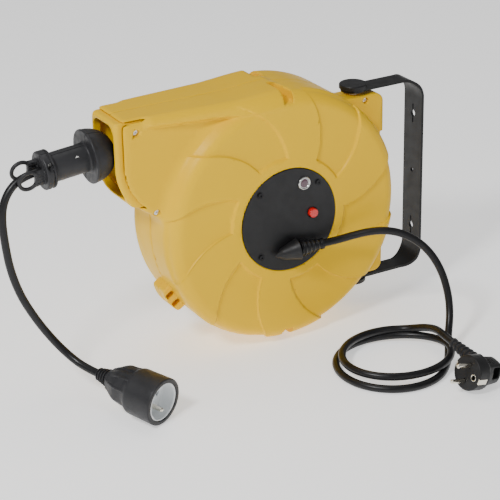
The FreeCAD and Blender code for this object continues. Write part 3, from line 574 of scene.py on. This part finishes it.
def shell_field(side):
    """Field of one shell; side is -1 in front of the parting plane and +1 behind it."""

    def field(x, y, z):
        s = side * y
        radius = np.hypot(x, z)
        case = rounded(radius - CASE_R, s - CASE_HALF, CASE_EDGE)
        if side < 0:
            case = case + fan_depth(x, z, s)
        nozzle, flat = nozzle_field(x, s - ridge(x, z), z)
        body = soft_min(case, nozzle, 13.0)
        body = soft_min(body, mount_block(x, s, z), 4.0)
        body = np.minimum(body, soft_max(lug_field(x, s, z), CASE_R - 1.0 - radius, 0.5))
        body = np.maximum(body, -inner_room(x, s, z, flat))
        body = soft_max(body, -lip_seat(x, y, z, flat), 1.6)
        for turn in (1, -1):
            body = soft_max(body, -rim_recess(x * turn, s, z * turn), 0.9)
        cuts = front_cuts if side < 0 else rear_cuts
        return soft_max(cuts(body, x, s, z), 0.05 - s, 1.0)

    return field


def shells():
    """The two shells; the rear one, which shows less, has a coarser mesh."""
    low = (-190.0, -52.0, -145.0)
    high = (150.0, 1.5, 145.0)
    front = moulded("housing_front", shell_field(-1), low, high, SHELL_STEP, "yellow", 0.03)
    finish_piece(front, "housing", "yellow", "front_shell")
    low = (-190.0, -1.5, -145.0)
    high = (150.0, 52.0, 145.0)
    rear = moulded("housing_rear", shell_field(1), low, high, SHELL_STEP * 1.15, "yellow", 0.03)
    finish_piece(rear, "housing", "yellow", "rear_shell")


def lip_field(x, y, z):
    """The rounded frame round the mouth."""
    flat = outline_field(NOZZLE_OUTLINE, x, z)
    band = rounded(flat - LIP_OUT, abs(y) - LIP_HALF, 5.0)
    band = rounded(band, -(flat + WALL + 3.0), 1.0)
    ends = np.maximum(MOUTH_BOTTOM - 7.0 - z, z - MOUTH_TOP - 5.0)
    band = rounded(band, np.maximum(ends, x + 157.0), 2.5)
    mouth = rounded(abs(y) - MOUTH_HALF, np.maximum(MOUTH_BOTTOM - z, z - MOUTH_TOP), 11.0)
    return soft_max(band, -mouth, 2.4)


def outlet_lip():
    piece = moulded("outlet_lip", lip_field, (-195, -29, 40), (-150, 29, 142), 0.9, "yellow", 0.05)
    finish_piece(piece, "housing", "yellow", "outlet_frame")


shells()
outlet_lip()


# ---------------------------------------------------------------- turned pieces
def softened(profile, r):
    """Profile with each corner replaced by four points, for a rounded moulded edge."""
    points = [profile[0]]
    for before, corner, after in zip(profile, profile[1:], profile[2:]):
        corner = np.array(corner, float)
        for other, share in ((before, 1.0), (before, 0.3), (after, 0.3), (after, 1.0)):
            way = np.array(other, float) - corner
            length = np.linalg.norm(way)
            cut = min(r, length * 0.45)
            points.append(tuple(corner + way / max(length, 1e-9) * cut * share))
    points.append(profile[-1])
    return points


def lathe(name, profile, start, axis, slot, segments=72, r=0.4):
    """Solid of revolution from (along, radius) pairs that begin and end on the axis."""
    axis = unit(axis)
    side = unit(np.cross(axis, (0.0, 0.0, 1.0) if abs(axis[2]) < 0.9 else (0.0, 1.0, 0.0)))
    other = np.cross(axis, side)
    profile = softened(profile, r)
    points = [start + axis * profile[0][0]]
    for along, radius in profile[1:-1]:
        for index in range(segments):
            angle = 2 * math.pi * index / segments
            way = side * math.cos(angle) + other * math.sin(angle)
            points.append(start + axis * along + way * radius)
    points.append(start + axis * profile[-1][0])
    rings = len(profile) - 2
    last = len(points) - 1
    faces = []
    for index in range(segments):
        after = (index + 1) % segments
        faces.append((0, 1 + after, 1 + index))
        for ring in range(rings - 1):
            base = 1 + ring * segments
            faces.append((base + index, base + after, base + segments + after, base + segments + index))
        base = 1 + (rings - 1) * segments
        faces.append((base + index, base + after, last))
    piece = add_mesh(name, points, faces, slot)
    piece.modifiers.new("weighted", "WEIGHTED_NORMAL").keep_sharp = True
    return piece


def ribbed_profile(length, ribs, start_r, end_r, depth):
    """Strain relief that narrows or widens evenly, with a groove before each rib."""
    pitch = (length - 2) / ribs
    profile = [(0, 0), (0, start_r)]
    for index in range(ribs):
        begin = 1.0 + pitch * index
        radius = start_r + (end_r - start_r) * (index + 1) / ribs
        profile += [(begin, radius), (begin + pitch * 0.2, radius - depth),
                    (begin + pitch * 0.5, radius - depth), (begin + pitch * 0.7, radius)]
    return profile + [(length, end_r), (length, 0)]


def boots():
    """The three strain reliefs; the two at a cord's far end are handed back."""
    along = LEAD_EXIT - BOOT_START
    lead = lathe("lead_strain_relief", ribbed_profile(np.linalg.norm(along), 5, 10.3, 6.2, 1.5), BOOT_START,
                 along, "cord_rubber")
    finish_piece(lead, "housing", "cord_rubber", "lead_boot")
    end = lathe("coupling_strain_relief", ribbed_profile(17.0, 4, 6.3, 9.5, 2.0), COUPLING_END,
                COUPLING_AXIS, "stop_rubber")
    finish_piece(end, "cord_end", "stop_rubber", "coupling_boot")
    start = PLUG_FACE - PLUG_AXIS * PLUG_BOOT_AT + PLUG_CORD_AXIS * PLUG_NECK
    plug = lathe("plug_strain_relief", ribbed_profile(PLUG_BOOT_LENGTH, 6, 8.6, 5.6, 1.5), start,
                 PLUG_CORD_AXIS, "stop_rubber")
    finish_piece(plug, "housing", "stop_rubber", "plug_boot")
    return end, plug


COUPLING_RELIEF, PLUG_RELIEF = boots()


def pilot_light():
    """Metal-rimmed lens in the faceplate."""
    low_corner, high_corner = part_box("pilot_lens")
    middle = [(a + b) / 2 / MM for a, b in zip(low_corner, high_corner)]
    start = np.array([middle[0] - DRUM_X / MM, high_corner[1] / MM, middle[2]])
    reach = (high_corner[1] - low_corner[1]) / MM
    rim = [(0, 0), (0, 5.9), (reach - 2.0, 5.9), (reach - 2.0, 7.4), (reach - 0.8, 7.4), (reach, 6.6),
           (reach, 6.0), (reach - 1.2, 5.3), (reach - 1.2, 0)]
    bezel = lathe("pilot_bezel", rim, start, (0, -1, 0), "zinc", 64, 0.2)
    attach(bezel, "housing")
    dome = [(reach - 1.6, 0), (reach - 1.6, 5.2), (reach - 0.9, 4.7), (reach - 0.3, 3.0), (reach - 0.1, 0)]
    glass = lathe("pilot_glass", dome, start, (0, -1, 0), "lens", 64, 0.2)
    finish_piece(glass, "housing", "lens", "pilot_lens")


pilot_light()


# ---------------------------------------------------------------- ball stop
def local(x, y, z, origin, a_axis, b_axis, c_axis):
    """Coordinates along three axes at right angles."""
    dx, dy, dz = x - origin[0], y - origin[1], z - origin[2]
    return [dx * axis[0] + dy * axis[1] + dz * axis[2] for axis in (a_axis, b_axis, c_axis)]


STOP_LEVEL = np.cross((0.0, 1.0, 0.0), STOP_OUT)
STOP_ACROSS = np.array([0.0, 1.0, 0.0]) * math.cos(STOP_ROLL) - STOP_LEVEL * math.sin(STOP_ROLL)
STOP_UP = np.cross(STOP_ACROSS, STOP_OUT)


def stop_field(side):
    """Field of one half; side is -1 in front of the cord and +1 behind it."""

    def field(x, y, z):
        a, b, c = local(x, y, z, STOP_FACE, STOP_OUT, STOP_ACROSS, STOP_UP)
        radius = np.hypot(b, c)
        ball = np.maximum(np.sqrt((a + 3) ** 2 + radius ** 2) - BALL_R, a + 2.5)
        flange = rounded(radius - FLANGE_R, np.maximum(a, -a - 3.2), 1.0)
        body = soft_min(ball, flange, 0.8)
        body = soft_min(body, np.maximum(radius - BARREL_R, np.maximum(-1 - a, a - 41)), 2.5)
        collar = rounded(radius - COLLAR_R, abs(a - COLLAR_AT) - 5.5, 1.6)
        groove = np.maximum(19.4 - radius, abs(a - 43.2) - 0.5)
        collar = soft_max(collar, -groove, 0.8)
        body = soft_min(body, collar, 1.2)
        beside = b - LOOP_OFF * side
        prong = box_field(a - 55.5, beside, c, (5.5, 3.2, 8.2), 1.2)
        ribs = 0.7 * smoothstep(np.cos(c * 2 * math.pi / 3.6), -0.2, 0.6)
        prong = prong + ribs * smoothstep(abs(beside), 2.0, 3.0)
        body = soft_min(body, prong, 1.4)
        loop = np.hypot(np.hypot(a - LOOP_AT, c) - LOOP_R, beside) - LOOP_WIRE_R
        body = soft_min(body, loop, 1.6)
        for height in (13.0, -13.0):
            well = np.maximum(np.hypot(a - COLLAR_AT, c - height) - 3.2, b + 8.0)
            body = soft_max(body, -well, 0.6)
        body = np.maximum(body, CORD_R + 0.1 - radius)
        return soft_max(body, 0.06 - side * b, 0.9)

    return field


def ball_stop():
    """Two halves clamped on the cord, each with a loop at its outer end."""
    step = 0.75
    for side, name, node in ((-1, "ball_stop_front", "stopper_front_half"),
                             (1, "ball_stop_rear", "stopper_rear_half")):
        low = (-300, -30 if side < 0 else -12, 70)
        high = (-176, 12 if side < 0 else 30, 133)
        piece = moulded(name, stop_field(side), low, high, step, "stop_rubber", 0.05)
        finish_piece(piece, "cord_end", "stop_rubber", node)


ball_stop()


# ---------------------------------------------------------------- coupling socket
COUPLING_SIDE = unit(np.cross(COUPLING_AXIS, (0.0, 0.0, 1.0)))
COUPLING_UP = np.cross(COUPLING_SIDE, COUPLING_AXIS)


def coupling_field(x, y, z):
    """Round socket end, an eight-sided grip behind it and raised wedge ribs on the grip."""
    a, b, c = local(x, y, z, COUPLING_END, COUPLING_AXIS, COUPLING_SIDE, COUPLING_UP)
    radius = np.hypot(b, c)
    angle = np.arctan2(c, b)
    facet = np.mod(angle + math.pi / 8, math.pi / 4) - math.pi / 8
    flat_r = radius * np.cos(facet)
    grip_r = 12.0 + 8.4 * smoothstep(a, 15, 37) + 1.4 * smoothstep(a, 37, 52)
    grip = soft_max(flat_r - grip_r + 0.4, np.maximum(17 - a, a - 58), 1.6)
    grip = soft_max(grip, radius - grip_r - 1.1, 1.0)
    cup_r = 25.0 + 0.5 * smoothstep(a, 54, 84)
    cup = rounded(radius - cup_r, np.maximum(47 - a, a - 86), 1.4)
    cup = soft_max(cup, (radius - cup_r) * 0.75 + (52 - a) * 0.65, 1.5)
    body = soft_min(grip, cup, 2.0)
    for turn in (0.35, 0.95, 1.55, 2.15, 2.75):
        off = radius * np.sin(angle - turn)
        facing = radius * np.cos(angle - turn)
        rib = np.maximum(np.maximum(abs(off) - 0.9, facing - grip_r - 1.6), np.maximum(24 - a, a - 50))
        rib = np.maximum(rib, 5 - facing)
        body = soft_min(body, rib, 0.9)
    socket = np.maximum(radius - 20.6, 67 - a)
    return soft_max(body, -socket, 0.7)


def insert_field(x, y, z):
    """Pale cup in the socket end, with two holes for the plug's pins."""
    a, b, c = local(x, y, z, COUPLING_END, COUPLING_AXIS, COUPLING_SIDE, COUPLING_UP)
    radius = np.hypot(b, c)
    cup = rounded(radius - 20.5, abs(a - 76.1) - 9.1, 0.5)
    wall_r = 18.9 - 0.5 * smoothstep(abs(b), 13, 15)
    inside = soft_max(radius - wall_r, 70 - a, 1.5)
    body = soft_max(cup, -inside, 0.6)
    for side in (-1, 1):
        body = soft_max(body, -(np.hypot(b - PIN_OFF * side, c) - 2.7), 0.6)
    return body


def coupling():
    """Socket body, its insert and the earth pin."""
    step = 0.8
    low, high = (-246, -154, -148), (-178, -60, -90)
    body = moulded("socket_body", coupling_field, low, high, step, "stop_rubber", 0.05)
    finish_piece(body, "cord_end", "stop_rubber", "coupling_body")
    insert = moulded("socket_insert", insert_field, low, high, step * 0.8, "grey_insert", 0.05)
    finish_piece(insert, "cord_end", "grey_insert", "coupling_insert")
    start = COUPLING_END + COUPLING_AXIS * 67 - COUPLING_UP * EARTH_OFF
    pin = lathe("socket_earth_pin", [(0, 0), (0, 2.4), (16.5, 2.4), (18.0, 1.2), (18.0, 0)], start,
                COUPLING_AXIS, "nickel", 32)
    finish_piece(pin, "cord_end", "nickel", "coupling_earth_pin")
    return body, insert, pin


COUPLING_PIECES = coupling()


# ---------------------------------------------------------------- plug
def plug_field(x, y, z):
    """Round earthed face, a tapering rear with a finger hole, and the cord's neck at right angles."""
    a, c, p = local(x, y, z, PLUG_FACE, PLUG_AXIS, PLUG_CORD_AXIS, PLUG_PIN_LINE)
    radius = np.hypot(c, p)
    front = rounded(radius - 19.0, abs(a + 8) - 8.0, 1.2)
    taper = 17.0 + (a + 15) * 4.0 / 23
    back = soft_max(radius - taper, abs(a + 26.5) - 11.5, 2.0)
    body = soft_min(front, back, 2.0)
    grip = box_field(a + 26.5, c + 2, p + 3, (11.5, 10, 11), 3.0)
    body = soft_min(body, grip, 3.0)
    neck_r = np.hypot(a + PLUG_BOOT_AT, p)
    neck = rounded(neck_r - 9.5, abs(c - 10) - 10.0, 1.0)
    body = soft_min(body, neck, 3.0)
    hole = box_field(a + 29, c + 13.5, p + 5.5, (5.5, 9.0, 6), 2.0)
    body = soft_max(body, -hole, 1.2)
    for index in range(4):
        rib = box_field(a + 19 + 3.2 * index, c, p, (0.7, 40, 40), 0.3)
        band = np.maximum(rib, np.maximum(14.0 + p, abs(c) - 7))
        body = soft_max(body, -band, 0.6)
    from_earth = np.hypot(c + EARTH_OFF, p)
    body = soft_max(body, -np.maximum(from_earth - 2.6, -13 - a), 0.6)
    body = soft_max(body, -np.maximum(abs(from_earth - 3.2) - 0.75, -1.0 - a), 0.3)
    for side in (-1, 1):
        slot = box_field(a + 5.5, c - 18.0 * side, p, (6.5, 1.2, 3.2), 0.2)
        body = soft_max(body, -slot, 0.4)
        body = np.maximum(body, -np.maximum(np.hypot(c, p - PIN_OFF * side) - 2.45, -8 - a))
    return body


def sleeve_field(x, y, z):
    """Metal ring in the earth hole of the plug's face."""
    a, c, p = local(x, y, z, PLUG_FACE, PLUG_AXIS, PLUG_CORD_AXIS, PLUG_PIN_LINE)
    return soft_max(abs(np.hypot(c + EARTH_OFF, p) - 3.15) - 0.6, abs(a + 0.5) - 0.8, 0.3)


def plug_mesh():
    """Plug body, its two pins and the metal ring of the earth hole."""
    step = 0.7
    piece = moulded("plug_moulding", plug_field, (86, -270, -149), (144, -215, -102), step,
                    "black_moulding", 0.05)
    finish_piece(piece, "housing", "black_moulding", "plug_body")
    pins = []
    for side, name in ((-1, "plug_pin_upper"), (1, "plug_pin_lower")):
        start = PLUG_FACE - PLUG_AXIS * 8 + PLUG_PIN_LINE * PIN_OFF * side
        pin = lathe(name, [(0, 0), (0, 2.4), (26.0, 2.4), (27.0, 1.5), (27.0, 0)], start, PLUG_AXIS,
                    "nickel", 32)
        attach(pin, "housing")
        pins.append(pin)
    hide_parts("plug_pins")
    sleeve = moulded("plug_earth_sleeve", sleeve_field, (92, -262, -132), (100, -252, -120), 0.5,
                     "nickel", 0.05)
    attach(sleeve, "housing")
    return [piece] + pins + [sleeve]


PLUG_PIECES = plug_mesh()


# ---------------------------------------------------------------- cords
def cord_curve(name, route, body):
    """One smooth NURBS spline through its route, with a round section."""
    data = bpy.data.curves.new(name, "CURVE")
    data.dimensions = "3D"
    data.bevel_depth = CORD_R * MM
    data.bevel_resolution = 6
    data.resolution_u = 10
    data.use_fill_caps = True
    spline = data.splines.new("NURBS")
    spline.points.add(len(route) - 1)
    for target, point in zip(spline.points, route):
        target.co = (*row(point), 1.0)
    spline.order_u = 3
    spline.use_endpoint_u = True
    piece = bpy.data.objects.new(name, data)
    bpy.context.scene.collection.objects.link(piece)
    dress(piece, "cord_rubber")
    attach(piece, body)
    return piece


def stop_point(along):
    """Point on the cord's line inside the ball stop."""
    return STOP_FACE + STOP_OUT * along


def output_cord():
    """Hangs from the ball stop to the coupling."""
    route = [stop_point(51), stop_point(67.3), (-294.5, -0.5, 86.5), (-305, -1.5, 72), (-309, -3, 54),
             (-308.5, -5, 29), (-305.5, -6, -1), (-297.5, -8, -31), (-285, -10.5, -58),
             (-271, -14.5, -82.5), (-257.5, -25, -102), COUPLING_END - COUPLING_AXIS * 20, COUPLING_END]
    piece = cord_curve("output_cord_sheath", route, "cord_end")
    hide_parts("output_cord")


def coil_turns():
    """Two loose turns, clockwise from above: the lower one first, then one lying on it."""
    points = []
    per_turn = 15
    lower_z = FLOOR + CORD_R
    upper_z = lower_z + CORD_D + 0.2
    first, last = -42.0, -672.0
    count = round((first - last) / 360.0 * per_turn)
    for index in range(count + 1):
        angle = first + (last - first) * index / count
        share = float(smoothstep(-angle, 250.0, 400.0))
        x0, y0 = 60.0 + 10.0 * share, -158.0 + 3.0 * share
        rx, ry = COIL_R + 2.5 * share, COIL_R - 5.5 * share
        t = math.radians(angle)
        points.append((x0 + rx * math.cos(t), y0 + ry * math.sin(t), lower_z + (upper_z - lower_z) * share))
    return points


def mains_cord():
    """From the faceplate down to the floor, round the coil and up to the plug."""
    boot_way = unit(LEAD_EXIT - BOOT_START)
    boot_tip = PLUG_FACE - PLUG_AXIS * PLUG_BOOT_AT + PLUG_CORD_AXIS * (PLUG_NECK + PLUG_BOOT_LENGTH)
    lead = [LEAD_EXIT, LEAD_EXIT + boot_way * 16, (66, -67.5, -28.5), (84, -77, -23.5),
            (103, -87.5, -22.5), (121, -98, -28.5), (138, -111, -43), (148, -124, -65),
            (151, -135, -91), (147, -145, -113), (136, -157, -131), (122, -178, -140.5)]
    tail = [(119.5, -135, -125), (121.5, -155, -119), boot_tip + PLUG_CORD_AXIS * 14, boot_tip]
    route = lead + coil_turns() + tail
    piece = cord_curve("mains_lead_sheath", route, "housing")
    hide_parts("mains_lead", "mains_lead_coil", "mains_lead_tail")


output_cord()
mains_cord()


# ---------------------------------------------------------------- bracket
def eased_edges(node, width):
    """Rounds the sharp edges of a CAD node that is shown as it is."""
    piece = frame["nodes"][node]
    bevel = piece.modifiers.new("eased", "BEVEL")
    bevel.width = width * MM
    bevel.segments = 2
    bevel.limit_method = "ANGLE"
    bevel.angle_limit = math.radians(40)
    bevel.harden_normals = True


for steel_node in ("wall_bracket", "upper_pivot_knob", "lower_pivot_knob"):
    eased_edges(steel_node, 0.5)


# ---------------------------------------------------------------- CAD nodes that stay
SLOTS = {entry["node"]: entry["material_slot"] for entry in frame["record"]["subparts"]}
for node_name, node in frame["nodes"].items():
    dress(node, SLOTS[node_name])


def squeezed_spring():
    """The reset button's spring gets its own copy of its mesh."""
    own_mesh(frame["nodes"]["button_spring"])


squeezed_spring()


# ---------------------------------------------------------------- stage
def make_floor():
    """Pale studio floor that glows a little, so that it runs into the background."""
    size = 14.0
    z = (FLOOR - 0.05) * MM
    corners = [(-size, -size, z), (size, -size, z), (size, size, z), (-size, size, z)]
    mesh = bpy.data.meshes.new("floor")
    mesh.from_pydata(corners, [], [(0, 1, 2, 3)])
    plane = bpy.data.objects.new("floor", mesh)
    bpy.context.scene.collection.objects.link(plane)
    f = Finish("studio_paper", (0.90, 0.90, 0.90), 0.9)
    f.tint(f.ramp(f.noise(3.0, 2.0), 0.4, 0.6, 0.0, 0.3), (0.93, 0.93, 0.93))
    f.shader.inputs["Emission Color"].default_value = (1.0, 1.0, 1.0, 1.0)
    f.shader.inputs["Emission Strength"].default_value = 0.7
    plane.data.materials.append(f.material)


def area_light(name, place, target, size, power):
    """Round lamp at a place in metres, turned to its target."""
    data = bpy.data.lights.new(name, "AREA")
    data.shape = "DISK"
    data.size = size
    data.energy = power
    lamp = bpy.data.objects.new(name, data)
    lamp.location = place
    lamp.rotation_mode = "QUATERNION"
    lamp.rotation_quaternion = (Vector(target) - Vector(place)).to_track_quat("-Z", "Y")
    bpy.context.scene.collection.objects.link(lamp)


def make_light():
    """Even white surroundings, a small key lamp on the left and two wide soft lamps."""
    world = bpy.data.worlds.new("studio")
    world.use_nodes = True
    background = world.node_tree.nodes["Background"]
    background.inputs["Color"].default_value = (1.0, 1.0, 1.0, 1.0)
    background.inputs["Strength"].default_value = 0.30
    bpy.context.scene.world = world
    middle = (DRUM_X, 0, 0)
    area_light("key", (-1.5, -0.7, 1.3), middle, 0.35, 24)
    area_light("front", (-0.3, -2.2, 0.9), middle, 0.9, 2.5)
    area_light("top", (-0.2, 0.5, 1.9), middle, 1.2, 7)


make_floor()
make_light()
